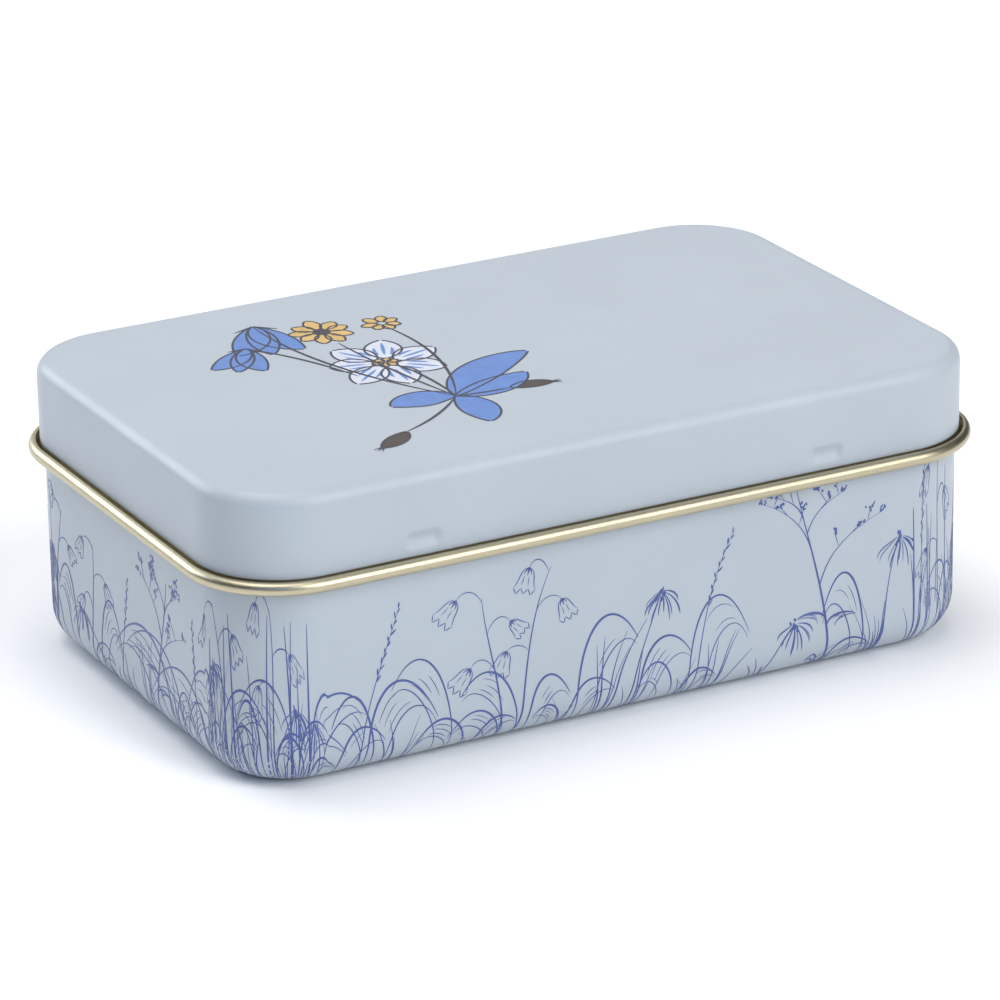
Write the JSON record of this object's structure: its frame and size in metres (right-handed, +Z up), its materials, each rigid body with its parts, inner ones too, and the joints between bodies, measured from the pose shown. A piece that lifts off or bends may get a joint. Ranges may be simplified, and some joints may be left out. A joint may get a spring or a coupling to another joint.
{
  "type": "hinged keepsake tin",
  "caption": "Flat rectangular tinplate tin with rounded corners and a hinged overlapping lid, its bottom edge curled outwards into a gold bead and dimples that snap it shut.",
  "frame": {"origin": "middle of the base, at the bottom of the bounding box", "axes": "+X along the tin's length, +Y towards the hinge at the rear, +Z up"},
  "size_m": [0.113, 0.073, 0.04],
  "materials": {
    "enamelled_tinplate": "satin pale grey-blue enamel on 0.25 mm tinplate",
    "gold_lacquer": "clear gold lacquer over bright tinplate, on the inside and the curled edges",
    "blue_print": "satin blue line print on the enamel",
    "sprig_blue": "satin printed mid blue",
    "sprig_white": "satin printed white",
    "sprig_ochre": "satin printed ochre",
    "sprig_brown": "satin printed dark brown",
    "steel_wire": "drawn steel wire"
  },
  "bodies": {
    "tin_body": {"body_shell": "enamelled_tinplate", "hinge_wire": "steel_wire"},
    "lid": {"lid_shell": "enamelled_tinplate"}
  },
  "joints": [
    {"name": "lid_hinge", "type": "hinge", "parent": "tin_body", "child": "lid", "pos_m": [0, 0.03565, 0.028], "axis": [-1, 0, 0], "range_deg": [0, 110]}
  ]
}
